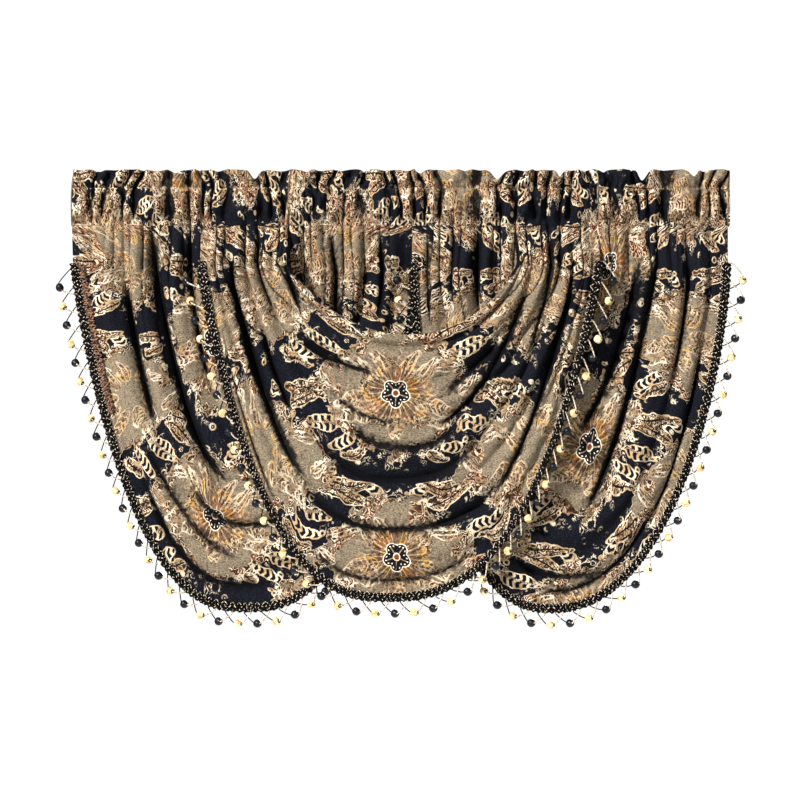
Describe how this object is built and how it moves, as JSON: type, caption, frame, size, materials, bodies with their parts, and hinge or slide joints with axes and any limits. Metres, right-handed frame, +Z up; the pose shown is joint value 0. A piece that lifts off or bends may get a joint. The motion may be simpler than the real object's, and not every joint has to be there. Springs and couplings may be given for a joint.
{
  "type": "beaded waterfall valance",
  "caption": "Waterfall valance of damask jacquard: overlapping gathered swags with a draped cowl under a rod-pocket heading, edged with braid and a bead fringe.",
  "frame": {"origin": "middle of the valance's top edge, over the rod pocket's length", "axes": "+X along the heading to the right as seen from the front, +Z up, and the front faces -Y"},
  "size_m": [1.2972, 0.1209, 0.8709],
  "materials": {
    "heading_cloth": "gathered jacquard weave, navy-black ground with taupe, cream and gold damask",
    "swag_cloth": "draped jacquard weave, navy-black ground with taupe, cream and gold damask",
    "braid_and_beads": "black and cream gimp braid with looped strings of dark and pale wooden beads"
  },
  "bodies": {
    "root": {"heading": "heading_cloth", "swag_left": "swag_cloth", "swag_right": "swag_cloth", "swag_centre": "swag_cloth", "fringe_left": "braid_and_beads", "fringe_right": "braid_and_beads", "fringe_centre": "braid_and_beads"}
  },
  "joints": []
}
